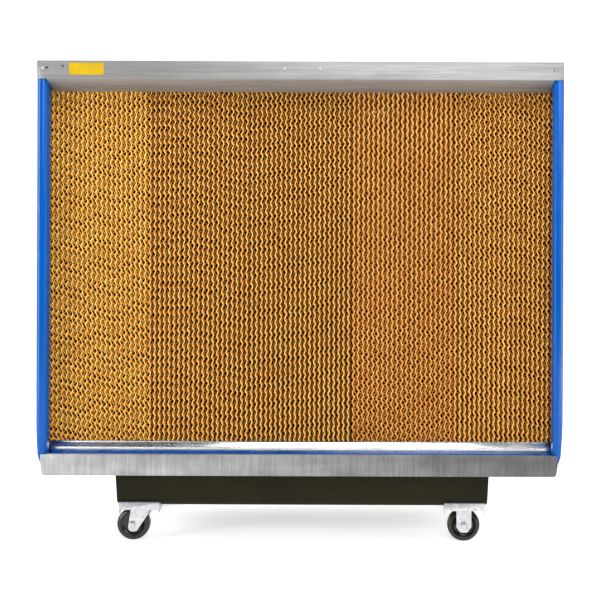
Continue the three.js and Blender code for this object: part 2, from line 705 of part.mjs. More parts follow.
function wheel() {
  const rim = WHEEL_RADIUS / Math.cos(Math.PI / WHEEL_FACETS);
  const half = WHEEL_WIDTH / 2;
  const profile = [
    [AXLE_RADIUS + GAP, -half], [15, -half], [16, -half + 8], [34, -half + 8], [36, -half], [rim, -half],
    [rim, half], [36, half], [34, half - 8], [16, half - 8], [15, half],
    [AXLE_RADIUS + GAP, half], [AXLE_RADIUS + GAP, -half],
  ];
  return turned(profile, WHEEL_FACETS, Math.PI / WHEEL_FACETS);
}

function axle() {
  const end = FORK_INSIDE + FORK_PLATE;
  return join(
    rod('y', AXLE_RADIUS, -end - 2, end + 2, 0, 0, 16),
    rod('y', 10, -end - 6, -end - GAP, 0, 0, 6),
    rod('y', 10, end + GAP, end + 6, 0, 0, 6),
  );
}

function addCastor(parent, name, x, y, swivels) {
  const castor = new THREE.Group();
  castor.position.set(x, y, 0);
  const axleX = swivels ? -TRAIL : 0;
  if (swivels) add(castor, `castor_plate_${name}`, swivelPlate(), 'zinc');
  add(castor, `castor_fork_${name}`, swivels ? swivelFork() : rigidFork(), 'zinc');
  add(castor, `castor_wheel_${name}`, wheel(), 'tyre').position.set(axleX, 0, WHEEL_RADIUS);
  add(castor, `castor_axle_${name}`, axle(), 'zinc').position.set(axleX, 0, WHEEL_RADIUS);
  parent.add(castor);
}

function addCastors(parent) {
  for (const [name, x] of [['left', -CASTOR_X], ['right', CASTOR_X]]) {
    add(parent, `castor_channel_${name}`, castorChannel(), 'zinc').position.x = x;
    addCastor(parent, `front_${name}`, x, CASTOR_FRONT_Y, name === 'left');
    addCastor(parent, `rear_${name}`, x, CASTOR_REAR_Y, name === 'left');
  }
}

// Water circuit

function addPump(parent) {
  const pump = new THREE.Group();
  pump.position.set(PUMP_X, PUMP_Y, TANK_FLOOR + GAP);
  const slots = [];
  for (let i = -3; i <= 3; i += 1) {
    slots.push(block(i * 13 - 3, i * 13 + 3, -60, 60, 5, 20));
  }
  const cage = cut(block(-52, 52, -42, 42, 0, 24), block(-49, 49, -39, 39, 3, 21), ...slots,
    rod('z', 16, 15, 30, 0, 0, 20));
  add(pump, 'pump_strainer', cage, 'black');
  const volute = join(
    prism(outline([[-40, -36, 14], [40, -36, 14], [40, 36, 14], [-40, 36, 14]]), 'z', 24.3, 48),
    rod('z', 30, 47, 82, 0, 0, 32, 26),
    rod('z', 8, 47, 96, 32, 0, 16),
  );
  const housed = cut(volute, rod('z', 27, 20, 40, 0, 0, 32), rod('z', 3.6, 30, 60, 0, 0, 16));
  add(pump, 'pump_body', housed, 'motor');
  const vanes = [];
  for (let i = 0; i < 5; i += 1) {
    vanes.push(block(3, 24, -1.2, 1.2, 27, 34).rotateZ((i * 2 * Math.PI) / 5));
  }
  const impeller = join(rod('z', 25, 33, 36, 0, 0, 32), rod('z', 6, 27, 36, 0, 0, 16),
    rod('z', 3, 35, 58, 0, 0, 16), ...vanes);
  add(pump, 'pump_impeller', impeller, 'grey');
  parent.add(pump);
}

function addPipes(parent) {
  const outletX = PUMP_X + 32;
  const outletZ = TANK_FLOOR + GAP + 96 + GAP;
  const header = join(
    rod('x', HEADER_RADIUS, -745, 752, HEADER_Y, HEADER_Z, 20),
    rod('y', 14, HEADER_Y, HEADER_Y + 34, RISER_X, HEADER_Z, 16),
    rod('x', HEADER_RADIUS + 3, -755, -735, HEADER_Y, HEADER_Z, 20),
  );
  add(parent, 'distribution_header', header, 'white');
  const riser = tube([
    [outletX, PUMP_Y, outletZ], [outletX, PUMP_Y, 250], [outletX + 20, PUMP_Y, 320], [540, -75, 395],
    [680, -105, 450], [728, -115, 540], [RISER_X, -118, 700], [RISER_X, -118, 1000], [RISER_X, -118, 1320],
    [RISER_X, -123, 1375], [RISER_X, -143, 1402], [RISER_X, -165, HEADER_Z],
    [RISER_X, HEADER_Y + 35, HEADER_Z],
  ], HOSE_RADIUS, 8, 40);
  add(parent, 'riser_hose', riser, 'rubber');
}

function addCables(parent) {
  const end = SHELL_REAR - WALL + 6;
  const motorLead = tube([
    [-MOTOR_RADIUS - 15, 120, FAN_Z], [-120, 120, FAN_Z], [-145, 117, FAN_Z + 8],
    [-200, 108, FAN_Z + 40], [-320, 100, FAN_Z + 70], [-470, 110, FAN_Z + 110], [-560, 160, 975],
    [-590, 230, 998], [BOX_X, 275, MOTOR_LEAD_Z], [BOX_X, end, MOTOR_LEAD_Z],
  ], 4.5, 8, 30);
  add(parent, 'motor_cable', motorLead, 'rubber');
  const top = TANK_FLOOR + GAP + 82 + GAP;
  const pumpLead = tube([
    [PUMP_X, PUMP_Y, top], [PUMP_X, PUMP_Y, 235], [PUMP_X - 8, PUMP_Y + 30, 268], [310, 5, 284],
    [270, 75, 284], [180, 110, 277], [0, 125, 276], [-200, 130, 276], [-400, 150, 277], [-530, 190, 290],
    [-590, 235, 350], [-602, 255, 500], [-602, 262, 750], [-598, 264, 900], [BOX_X, 272, 948],
    [BOX_X, 288, PUMP_LEAD_Z - 0.5], [BOX_X, end, PUMP_LEAD_Z],
  ], 3.8, 8, 48);
  add(parent, 'pump_cable', pumpLead, 'rubber');
}

function addFloatValve(parent) {
  const valve = new THREE.Group();
  valve.position.set(FLOAT_X, 0, FLOAT_Z);
  const inner = TANK_BACK - TANK_WALL - 4;
  const body = join(
    block(-12, 12, inner - 34, inner - 4, -12, 12),
    rod('y', 10, inner - 6, TANK_BACK + GAP, 0, 0, 16),
    block(-11, -6, inner - 46, inner - 30, -12, 6),
    block(6, 11, inner - 46, inner - 30, -12, 6),
  );
  add(valve, 'float_valve_body', body, 'brass');
  const inlet = join(rod('y', 17, TANK_BACK + 2 * GAP, TANK_BACK + 9, 0, 0, 6),
    rod('y', 13, TANK_BACK + 8, TANK_BACK + 36, 0, 0, 24));
  add(valve, 'hose_inlet', cut(inlet, rod('y', 9, TANK_BACK + 12, TANK_BACK + 40, 0, 0, 16)), 'brass');
  const arm = new THREE.Group();
  arm.position.set(0, inner - 40, -4);
  arm.rotation.x = THREE.MathUtils.degToRad(14);
  add(arm, 'float_arm', join(rod('y', 2.5, -136, -3, 0, 0, 12), rod('x', 4.5, -5.4, 5.4, 0, 0, 16)), 'brass');
  const ball = new THREE.SphereGeometry(36, 20, 12).translate(0, -172.3, 0);
  add(arm, 'float_ball', ball, 'white');
  valve.add(arm);
  parent.add(valve);
}

function addDrainValve(parent) {
  const drain = new THREE.Group();
  drain.position.set(DRAIN_X, TANK_BACK, DRAIN_Z);
  const body = join(
    rod('y', 10, -8, 12, 0, 0, 16),
    rod('y', 16, 3, 10, 0, 0, 6),
    block(-14, 14, 8, 38, -13, 13),
    rod('y', 10, 36, 52, 0, 0, 16),
    rod('z', 6, 12, 18, 0, 23, 12),
  );
  add(drain, 'drain_valve_body', cut(body, rod('y', 6.5, 42, 60, 0, 0, 12)), 'brass');
  const handle = join(rod('z', 8, 18.3, 23, 0, 23, 16), block(0, 56, 17, 29, 19.5, 22.5));
  add(drain, 'drain_handle', handle, 'polished');
  parent.add(drain);
}

const cooler = new THREE.Group();
add(cooler, 'housing', housing(), 'blue');
addTrim(cooler);
addPads(cooler);
addFan(cooler);
add(cooler, 'fan_guard', fanGuard(), 'black');
addMotor(cooler);
addControls(cooler);
add(cooler, 'water_tank', waterTank(), 'tank');
addCastors(cooler);
addPump(cooler);
addPipes(cooler);
addCables(cooler);
addFloatValve(cooler);
addDrainValve(cooler);

export default cooler;
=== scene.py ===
"""The looks of a wheeled evaporative cooler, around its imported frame. Metres, +Z up, pads facing -Y."""
import json
import math

import bpy
import numpy as np
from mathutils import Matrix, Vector


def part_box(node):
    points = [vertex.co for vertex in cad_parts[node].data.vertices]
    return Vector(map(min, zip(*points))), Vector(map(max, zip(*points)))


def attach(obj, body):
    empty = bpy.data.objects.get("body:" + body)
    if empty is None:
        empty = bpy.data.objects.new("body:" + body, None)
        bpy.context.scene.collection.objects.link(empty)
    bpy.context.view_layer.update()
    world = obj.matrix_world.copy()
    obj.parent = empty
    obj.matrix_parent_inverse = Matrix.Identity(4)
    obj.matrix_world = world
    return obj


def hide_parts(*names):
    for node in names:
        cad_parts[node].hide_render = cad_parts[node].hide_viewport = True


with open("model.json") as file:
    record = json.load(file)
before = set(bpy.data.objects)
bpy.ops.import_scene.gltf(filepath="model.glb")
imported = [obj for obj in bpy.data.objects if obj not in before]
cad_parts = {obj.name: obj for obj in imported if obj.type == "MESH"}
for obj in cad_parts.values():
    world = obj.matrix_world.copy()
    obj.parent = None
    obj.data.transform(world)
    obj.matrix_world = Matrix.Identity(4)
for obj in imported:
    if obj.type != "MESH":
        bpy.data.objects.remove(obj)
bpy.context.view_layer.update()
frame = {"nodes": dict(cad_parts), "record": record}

nodes = frame["nodes"]
MM = 0.001

# Camera, worked out from the front face
CAMERA_DISTANCE = 2.193
CAMERA_X = 0.217
CAMERA_Z = 0.743
CAMERA_LENS = 45.0
CAMERA_SHIFT = -0.123
CAMERA_ROLL = math.radians(-0.22)

# Studio
WORLD_FRONT = 0.22
WORLD_BACK = 0.9
FLOOR_GLOW = 0.6

# Painted shade darkens the rail's colour between these two places along X, standing in for its dimmer
# reflection towards the right end
RAIL_SHADE_FROM = -0.9
RAIL_SHADE_TO = 0.75

# Pad media
SHEETS_PER_PAD = 42
THICKNESSES = (1.7 * MM, 1.0 * MM)
FLUTE_LENGTH = 18.0 * MM
STEEP = math.radians(45)
SHALLOW = math.radians(15)
STEPS_PER_WAVE = 8
# Depth behind the pad's front over which the paper is darkened as painted shade
PAINTED_SHADE_DEPTH = 19 * MM
OVERLAP = 0.25 * MM

# Floor and backdrop
FLOOR_NEAR = -9.0
FLOOR_FAR = 3.2
FLOOR_CURVE = 2.0
FLOOR_TOP = 9.0
FLOOR_HALF = 14.0
CURVE_STEPS = 8

# Fan guard
GUARD_RINGS = 26
GUARD_SPOKES = 12
GUARD_SIDES = 96
DISC_RADIUS = 64 * MM
SPOKE_START = 50 * MM

# Fan blades
BLADE_COUNT = 4
BLADE_PITCH = math.radians(28)
BLADE_Y = 0.268
FAN_Z = 0.84

# Fascia details
LABEL_LEFT = -0.677
LABEL_RIGHT = -0.575
LABEL_BOTTOM = 1.3985
LABEL_TOP = 1.4335
SLOT_LEFT = -0.7465
SLOT_RIGHT = -0.7375
SLOT_BOTTOM = 1.4165
SLOT_TOP = 1.4215
HOLE_X = -0.695
HOLE_Z = 1.4235
SCREW_Z = 1.4145

# Control panel
DIAL_TICKS = 10
DIAL_START = -135
DIAL_STEP = 30


# Node helpers

class Look:
    """A principled material with short calls that wire texture nodes into it."""

    def __init__(self, name, roughness=0.5, metallic=0.0, coat=0.0, specular=0.5):
        self.material = bpy.data.materials.new(name)
        self.material.use_nodes = True
        self.nodes = self.material.node_tree.nodes
        self.links = self.material.node_tree.links
        self.shader = self.nodes["Principled BSDF"]
        self.shader.inputs["Roughness"].default_value = roughness
        self.shader.inputs["Metallic"].default_value = metallic
        self.shader.inputs["Coat Weight"].default_value = coat
        self.shader.inputs["Specular IOR Level"].default_value = specular
        self.coordinates = self.nodes.new("ShaderNodeTexCoord").outputs["Object"]

    def plug(self, value, socket):
        if isinstance(value, bpy.types.NodeSocket):
            self.links.new(value, socket)
        else:
            socket.default_value = value

    def vector(self, stretch):
        mapping = self.nodes.new("ShaderNodeMapping")
        self.links.new(self.coordinates, mapping.inputs["Vector"])
        mapping.inputs["Scale"].default_value = stretch
        return mapping.outputs["Vector"]

    def noise(self, scale, detail=2.0, stretch=(1, 1, 1), distortion=0.0):
        texture = self.nodes.new("ShaderNodeTexNoise")
        self.links.new(self.vector(stretch), texture.inputs["Vector"])
        texture.inputs["Scale"].default_value = scale
        texture.inputs["Detail"].default_value = detail
        texture.inputs["Distortion"].default_value = distortion
        return texture.outputs["Fac"]

    def cells(self, scale, stretch=(1, 1, 1)):
        texture = self.nodes.new("ShaderNodeTexVoronoi")
        self.links.new(self.vector(stretch), texture.inputs["Vector"])
        texture.inputs["Scale"].default_value = scale
        return texture.outputs["Color"]

    def axis(self, name):
        split = self.nodes.new("ShaderNodeSeparateXYZ")
        self.links.new(self.coordinates, split.inputs["Vector"])
        return split.outputs[name]

    def remap(self, value, low, high, to_low=0.0, to_high=1.0):
        node = self.nodes.new("ShaderNodeMapRange")
        self.plug(value, node.inputs["Value"])
        for key, number in (("From Min", low), ("From Max", high), ("To Min", to_low), ("To Max", to_high)):
            node.inputs[key].default_value = number
        return node.outputs["Result"]

    def ramp(self, value, stops):
        node = self.nodes.new("ShaderNodeValToRGB")
        self.links.new(value, node.inputs["Fac"])
        while len(node.color_ramp.elements) < len(stops):
            node.color_ramp.elements.new(0.5)
        for element, (position, color) in zip(node.color_ramp.elements, stops):
            element.position = position
            element.color = (*color, 1.0)
        return node.outputs["Color"]

    def mix(self, factor, first, second, blend="MIX"):
        node = self.nodes.new("ShaderNodeMix")
        node.data_type = "RGBA"
        node.blend_type = blend
        self.plug(factor, node.inputs["Factor"])
        for key, value in (("A", first), ("B", second)):
            socket = [s for s in node.inputs if s.name == key and s.type == "RGBA"][0]
            self.plug((*value, 1.0) if isinstance(value, tuple) else value, socket)
        return [s for s in node.outputs if s.type == "RGBA"][0]

    def multiply(self, first, second):
        node = self.nodes.new("ShaderNodeMath")
        node.operation = "MULTIPLY"
        self.plug(first, node.inputs[0])
        self.plug(second, node.inputs[1])
        return node.outputs["Value"]

    def color(self, socket):
        self.links.new(socket, self.shader.inputs["Base Color"])
        return self

    def rough(self, socket):
        self.links.new(socket, self.shader.inputs["Roughness"])
        return self

    def bump(self, height, strength, distance):
        node = self.nodes.new("ShaderNodeBump")
        node.inputs["Strength"].default_value = strength
        node.inputs["Distance"].default_value = distance
        self.links.new(height, node.inputs["Height"])
        previous = self.shader.inputs["Normal"].links
        if previous:
            self.links.new(previous[0].from_socket, node.inputs["Normal"])
        self.links.new(node.outputs["Normal"], self.shader.inputs["Normal"])
        return self


# Materials

def blue_plastic():
    look = Look("blue_plastic", specular=0.22)
    mottle = look.noise(3.0, 4.0)
    look.color(look.ramp(mottle, [(0.3, (0.0, 0.072, 0.33)), (0.7, (0.0, 0.090, 0.40))]))
    look.rough(look.remap(look.noise(40.0, 3.0), 0.3, 0.7, 0.14, 0.24))
    look.bump(look.noise(700.0, 2.0), 0.06, 0.0003)
    look.bump(look.noise(6.0, 2.0), 0.25, 0.004)
    return look.material


def brushed(name, stretch, base, patch=0.25):
    """Stainless steel whose grain runs along the axis with the small stretch."""
    look = Look(name, metallic=0.6)
    grain = look.noise(90.0, 4.0, stretch)
    fine = look.noise(420.0, 2.0, stretch)
    clouds = look.noise(7.0, 3.0, (1, 1, 2.0))
    dark = tuple(value * (1 - patch) for value in base)
    tone = look.ramp(clouds, [(0.35, dark), (0.65, base)])
    streaked = look.mix(look.remap(grain, 0.3, 0.7, 0.0, 1.0), tone, (0.74, 0.74, 0.74), "MULTIPLY")
    look.color(look.mix(look.remap(fine, 0.3, 0.7, 0.0, 1.0), streaked, (0.82, 0.82, 0.82), "MULTIPLY"))
    look.rough(look.remap(fine, 0.3, 0.7, 0.42, 0.60))
    look.bump(fine, 0.12, 0.0002)
    return look


def rail_with_painted_shade():
    """Upright-brushed steel, darker towards its right end: painted shade standing in for a dimmer reflection
    there.
    """
    look = brushed("stainless_upright", (1, 1, 0.05), (0.62, 0.62, 0.62), 0.3)
    unshaded_colour = look.shader.inputs["Base Color"].links[0].from_socket
    # Painted shade: the colour is multiplied darker along X towards the rail's right end
    rail_shade = look.remap(look.axis("X"), RAIL_SHADE_FROM, RAIL_SHADE_TO)
    look.color(look.mix(rail_shade, unshaded_colour, (0.24, 0.24, 0.24), "MULTIPLY"))
    return look.material


def polished_steel():
    look = Look("polished_steel", metallic=1.0)
    look.color(look.ramp(look.noise(8.0, 3.0), [(0.3, (0.62, 0.64, 0.66)), (0.7, (0.78, 0.79, 0.8))]))
    look.rough(look.remap(look.noise(25.0, 3.0, (0.4, 1, 1)), 0.3, 0.7, 0.20, 0.32))
    look.bump(look.noise(7.0, 1.0, (0.6, 1, 1)), 0.3, 0.003)
    return look.material


def cellulose(name, edge, inside, front):
    """Resin-stiffened paper: pale cut edges at the front, partly the paper's own edge and partly a painted
    highlight; deeper amber inside and near black further back, which is painted shade in the deep flutes.
    """
    look = Look(name, specular=0.25)
    # Painted shade: the colour darkens with distance behind the pad's front, standing in for the shade
    # inside the flutes
    depth = look.remap(look.axis("Y"), front, front + PAINTED_SHADE_DEPTH)
    blotches = look.noise(28.0, 4.0)
    fibres = look.noise(500.0, 3.0, (1, 1, 0.35))
    shade = look.ramp(depth, [
        (0.0, edge),
        (0.15, tuple(v * 0.8 for v in edge)),
        (0.42, inside),
        (0.72, tuple(v * 0.12 for v in inside)),
        (1.0, tuple(v * 0.04 for v in inside)),
    ])
    stained = look.mix(look.remap(blotches, 0.3, 0.7, 0.0, 0.7), shade, (0.86, 0.72, 0.6), "MULTIPLY")
    look.color(look.mix(look.remap(fibres, 0.35, 0.65, 0.0, 0.6), stained, (0.78, 0.68, 0.55), "MULTIPLY"))
    look.rough(look.remap(fibres, 0.3, 0.7, 0.55, 0.85))
    look.bump(fibres, 0.3, 0.0004)
    return look.material


def tank_plastic():
    look = Look("tank_plastic", specular=0.12)
    tones = [(0.3, (0.009, 0.0078, 0.001)), (0.7, (0.016, 0.0145, 0.003))]
    look.color(look.ramp(look.noise(4.0, 4.0), tones))
    look.rough(look.remap(look.noise(30.0, 3.0), 0.3, 0.7, 0.38, 0.55))
    look.bump(look.noise(450.0, 2.0), 0.2, 0.0004)
    return look.material


def zinc_plate():
    look = Look("zinc_plate", metallic=0.75)
    look.color(look.ramp(look.cells(120.0), [(0.25, (0.50, 0.51, 0.52)), (0.75, (0.62, 0.63, 0.64))]))
    look.rough(look.remap(look.noise(50.0, 3.0), 0.3, 0.7, 0.30, 0.48))
    look.bump(look.noise(260.0, 2.0), 0.1, 0.0003)
    return look.material


def moulded(name, color, low, high, grain=500.0):
    look = Look(name, specular=0.45)
    darker = tuple(value * 0.8 for value in color)
    look.color(look.ramp(look.noise(18.0, 3.0), [(0.3, darker), (0.7, color)]))
    look.rough(look.remap(look.noise(60.0, 2.0), 0.3, 0.7, low, high))
    look.bump(look.noise(grain, 2.0), 0.15, 0.0003)
    return look.material


def cast_metal(name, color, low, high):
    look = Look(name, metallic=1.0)
    darker = tuple(value * 0.75 for value in color)
    look.color(look.ramp(look.noise(40.0, 3.0), [(0.3, darker), (0.7, color)]))
    look.rough(look.remap(look.noise(80.0, 2.0), 0.3, 0.7, low, high))
    look.bump(look.noise(400.0, 2.0), 0.15, 0.0002)
    return look.material


LOOKS = {
    "blue_plastic": blue_plastic(),
    "stainless": brushed("stainless_rolled", (0.02, 1, 1), (0.36, 0.36, 0.355), 0.10).material,
    "stainless_upright": rail_with_painted_shade(),
    "polished_steel": polished_steel(),
    "tank_plastic": tank_plastic(),
    "zinc_plate": zinc_plate(),
    "wheel_plastic": moulded("wheel_plastic", (0.010, 0.010, 0.006), 0.10, 0.22, 120.0),
    "black_plastic": moulded("black_plastic", (0.014, 0.014, 0.015), 0.35, 0.5),
    "dark_paint": moulded("dark_paint", (0.05, 0.055, 0.065), 0.3, 0.45),
    "grey_plastic": moulded("grey_plastic", (0.25, 0.26, 0.28), 0.4, 0.55),
    "white_plastic": moulded("white_plastic", (0.72, 0.72, 0.69), 0.35, 0.5),
    "yellow_vinyl": moulded("yellow_vinyl", (0.56, 0.36, 0.002), 0.35, 0.45, 900.0),
    "rubber": moulded("rubber", (0.010, 0.010, 0.010), 0.6, 0.8),
    "brass": cast_metal("brass", (0.62, 0.42, 0.14), 0.22, 0.38),
}


# Mesh helpers

def make_object(name, vertices, faces, look, body, smooth_angle=35):
    """A mesh object from arrays of points and faces, riding on a body."""
    mesh = bpy.data.meshes.new(name)
    mesh.from_pydata([tuple(v) for v in vertices], [], [tuple(f) for f in faces])
    return finish_mesh(mesh, name, look, body, smooth_angle)


def make_quads(name, vertices, quads, looks, which, body, smooth_angle=35):
    """The same for large arrays: vertices is (n, 3), quads is (m, 4) and which gives each quad's look."""
    mesh = bpy.data.meshes.new(name)
    mesh.vertices.add(len(vertices))
    mesh.vertices.foreach_set("co", np.asarray(vertices, np.float32).ravel())
    mesh.loops.add(quads.size)
    mesh.loops.foreach_set("vertex_index", quads.astype(np.int32).ravel())
    mesh.polygons.add(len(quads))
    mesh.polygons.foreach_set("loop_start", np.arange(0, quads.size, 4, dtype=np.int32))
    mesh.polygons.foreach_set("material_index", which.astype(np.int32))
    mesh.update(calc_edges=True)
    piece = finish_mesh(mesh, name, looks[0], body, smooth_angle)
    for look in looks[1:]:
        mesh.materials.append(look)
    return piece


def finish_mesh(mesh, name, look, body, smooth_angle):
    mesh.validate()
    mesh.shade_smooth()
    mesh.set_sharp_from_angle(angle=math.radians(smooth_angle))
    piece = bpy.data.objects.new(name, mesh)
    bpy.context.scene.collection.objects.link(piece)
    mesh.materials.append(look if isinstance(look, bpy.types.Material) else LOOKS[look])
    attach(piece, body)
    return piece


class Parts:
    """Gathers points and faces of several small shapes into one piece."""

    def __init__(self):
        self.vertices = []
        self.faces = []

    def add(self, vertices, faces):
        start = len(self.vertices)
        self.vertices.extend(Vector(v) for v in vertices)
        self.faces.extend([start + i for i in face] for face in faces)

    def tube(self, points, radius, sides=8, closed=False):
        """A round wire along points, with flat ends where it is open."""
        points = [Vector(p) for p in points]
        count = len(points)
        ring_points = []
        normal = None
        for i, point in enumerate(points):
            before = points[i - 1] if i or closed else point
            after = points[(i + 1) % count] if i < count - 1 or closed else point
            tangent = (after - before).normalized()
            if normal is None:
                helper = Vector((0, 0, 1)) if abs(tangent.z) < 0.9 else Vector((1, 0, 0))
                normal = tangent.cross(helper).normalized()
            normal = (normal - tangent * normal.dot(tangent)).normalized()
            side = tangent.cross(normal)
            for k in range(sides):
                angle = 2 * math.pi * k / sides
                ring_points.append(point + (normal * math.cos(angle) + side * math.sin(angle)) * radius)
        faces = []
        for i in range(count if closed else count - 1):
            for k in range(sides):
                a = i * sides + k
                b = i * sides + (k + 1) % sides
                shift = ((i + 1) % count) * sides
                faces.append([a, b, shift + (k + 1) % sides, shift + k])
        if not closed:
            faces.append(list(range(sides))[::-1])
            faces.append([(count - 1) * sides + k for k in range(sides)])
        self.add(ring_points, faces)

    def turned(self, profile, origin, axis="y", segments=32, closed=False):
        """A (radius, height) profile turned about an axis through origin."""
        origin = Vector(origin)
        vertices = []
        for k in range(segments):
            angle = 2 * math.pi * k / segments
            c, s = math.cos(angle), math.sin(angle)
            for radius, height in profile:
                if axis == "y":
                    local = Vector((radius * s, height, radius * c))
                elif axis == "z":
                    local = Vector((radius * c, radius * s, height))
                else:
                    local = Vector((height, radius * c, radius * s))
                vertices.append(origin + local)
        rows = len(profile)
        faces = []
        for k in range(segments):
            for j in range(rows if closed else rows - 1):
                a = k * rows + j
                b = ((k + 1) % segments) * rows + j
                after = (j + 1) % rows - j
                faces.append([a, a + after, b + after, b])
        if not closed:
            faces.append([k * rows for k in range(segments)])
            faces.append([k * rows + rows - 1 for k in range(segments)][::-1])
        self.add(vertices, faces)

    def slab(self, low, high):
        """A box between two corners."""
        x0, y0, z0 = low
        x1, y1, z1 = high
        corners = [(x, y, z) for x in (x0, x1) for y in (y0, y1) for z in (z0, z1)]
        faces = [[0, 1, 3, 2], [4, 6, 7, 5], [0, 4, 5, 1], [2, 3, 7, 6], [0, 2, 6, 4], [1, 5, 7, 3]]
        self.add(corners, faces)

    def make(self, name, look, body, smooth_angle=35, bevel=0.0):
        piece = make_object(name, self.vertices, self.faces, look, body, smooth_angle)
        if bevel:
            modifier = piece.modifiers.new("edges", "BEVEL")
            modifier.width = bevel
            modifier.segments = 2
            modifier.limit_method = "ANGLE"
        return piece


def middle(node):
    low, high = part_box(node)
    return (low + high) / 2


# Camera, light and floor

def set_camera():
    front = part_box("top_fascia")[0].y
    camera = bpy.data.cameras.new("camera")
    camera.lens = CAMERA_LENS
    camera.sensor_width = 36.0
    camera.shift_x = CAMERA_SHIFT
    holder = bpy.data.objects.new("camera", camera)
    holder.location = (CAMERA_X, front - CAMERA_DISTANCE, CAMERA_Z)
    holder.rotation_euler = (math.pi / 2, CAMERA_ROLL, 0)
    bpy.context.scene.collection.objects.link(holder)
    bpy.context.scene.camera = holder


def area_light(name, location, target, size, power):
    light = bpy.data.lights.new(name, "AREA")
    light.shape = "RECTANGLE"
    light.size, light.size_y = size
    light.energy = power
    holder = bpy.data.objects.new(name, light)
    holder.location = location
    holder.rotation_euler = (Vector(target) - Vector(location)).to_track_quat("-Z", "Y").to_euler()
    bpy.context.scene.collection.objects.link(holder)


def set_studio():
    world = bpy.data.worlds.new("studio")
    world.use_nodes = True
    tree = world.node_tree
    direction = tree.nodes.new("ShaderNodeTexCoord").outputs["Generated"]
    split = tree.nodes.new("ShaderNodeSeparateXYZ")
    tree.links.new(direction, split.inputs["Vector"])
    fade = tree.nodes.new("ShaderNodeMapRange")
    tree.links.new(split.outputs["Y"], fade.inputs["Value"])
    fade.inputs["From Min"].default_value = -0.5
    fade.inputs["From Max"].default_value = 0.4
    fade.inputs["To Min"].default_value = WORLD_FRONT
    fade.inputs["To Max"].default_value = WORLD_BACK
    tree.links.new(fade.outputs["Result"], tree.nodes["Background"].inputs["Strength"])
    bpy.context.scene.world = world
    bpy.context.scene.view_settings.view_transform = "Standard"
    area_light("key", (1.5, -4.2, 2.8), (0.1, 0, 0.8), (3.0, 1.6), 95)
    area_light("side", (-3.5, -1.9, 1.0), (-0.1, -0.35, 0.8), (0.9, 2.8), 90)
    area_light("edge", (3.4, -1.4, 1.0), (0.4, -0.35, 0.8), (0.35, 2.8), 40)
    area_light("top", (0.3, -1.8, 4.0), (0, 0, 0.8), (3.0, 1.6), 120)
    area_light("back", (0.5, 3.5, 3.0), (0, 0, 0.8), (3.0, 2.0), 60)


def set_floor():
    """A pale floor that curves up into a backdrop well behind the object."""
    profile = [(FLOOR_NEAR, 0.0), (FLOOR_FAR, 0.0)]
    for k in range(1, CURVE_STEPS + 1):
        angle = math.pi / 2 * k / CURVE_STEPS
        y = FLOOR_FAR + FLOOR_CURVE * math.sin(angle)
        profile.append((y, FLOOR_CURVE - FLOOR_CURVE * math.cos(angle)))
    profile.append((FLOOR_FAR + FLOOR_CURVE, FLOOR_TOP))
    vertices = [(x, y, z) for x in (-FLOOR_HALF, FLOOR_HALF) for y, z in profile]
    rows = len(profile)
    faces = [[i, rows + i, rows + i + 1, i + 1] for i in range(rows - 1)]
    mesh = bpy.data.meshes.new("floor")
    mesh.from_pydata(vertices, [], faces)
    mesh.shade_smooth()
    floor = bpy.data.objects.new("floor", mesh)
    bpy.context.scene.collection.objects.link(floor)
    look = Look("floor_paint", roughness=0.9)
    look.color(look.ramp(look.noise(0.6, 2.0), [(0.3, (0.86, 0.86, 0.86)), (0.7, (0.90, 0.90, 0.90))]))
    look.shader.inputs["Emission Color"].default_value = (1.0, 1.0, 1.0, 1.0)
    look.shader.inputs["Emission Strength"].default_value = FLOOR_GLOW
    mesh.materials.append(look.material)


# Pad media

def sheet_arrays(x, low, high, angle, direction, start_phase, thickness, rng):
    """One corrugated sheet: straight flutes that cross the pad's depth, cut off at its top and foot."""
    depth = high.y - low.y
    rise = math.tan(angle) * direction * depth
    period = FLUTE_LENGTH / math.cos(angle)
    step = period / STEPS_PER_WAVE
    start = low.z - max(rise, 0.0)
    end = high.z - min(rise, 0.0)
    z = np.arange(start, end + step, step)
    amplitude = (high.x - low.x) / SHEETS_PER_PAD / 2 - thickness / 2 + OVERLAP
    drift = np.interp(z, np.linspace(start, end, 12), rng.normal(0, 0.5, 12))
    swing = np.interp(z, np.linspace(start, end, 16), rng.uniform(0.98, 1.08, 16))
    phase = 2 * math.pi * z / period + start_phase + drift
    wave = amplitude * swing * np.sin(phase)
    slope = amplitude * np.cos(phase) * 2 * math.pi / period
    length = np.sqrt(1 + slope ** 2)
    offset_x = thickness / 2 / length
    offset_z = -thickness / 2 * slope / length
    if abs(rise) > 1e-9:
        at_low = (low.z - z) / rise
        at_high = (high.z - z) / rise
        first = np.clip(np.minimum(at_low, at_high), 0, 1)
        last = np.clip(np.maximum(at_low, at_high), 0, 1)
    else:
        first, last = np.zeros_like(z), np.ones_like(z)
    rows = []
    for part in (first, last):
        for side in (1, -1):
            rows.append(np.stack([
                x + wave + side * offset_x,
                low.y + part * depth,
                np.clip(z + part * rise + side * offset_z, low.z, high.z),
            ], axis=1))
    points = np.stack(rows, axis=1).reshape(-1, 3)
    k = np.arange(len(z) - 1)[:, None] * 4
    ring = [(0, 4, 6, 2), (1, 3, 7, 5), (1, 5, 4, 0), (3, 2, 6, 7)]
    quads = np.concatenate([k + np.array([corners]) for corners in ring])
    kept = (last - first > 1e-4)
    keep = (kept[:-1] & kept[1:])
    return points, quads[np.tile(keep, 4)]


def painted_shade_of(color, shade):
    """A darker and redder version of a colour, used as painted shade."""
    red, green, blue = color
    return (red * shade, green * shade * 0.78, blue * shade * 0.62)


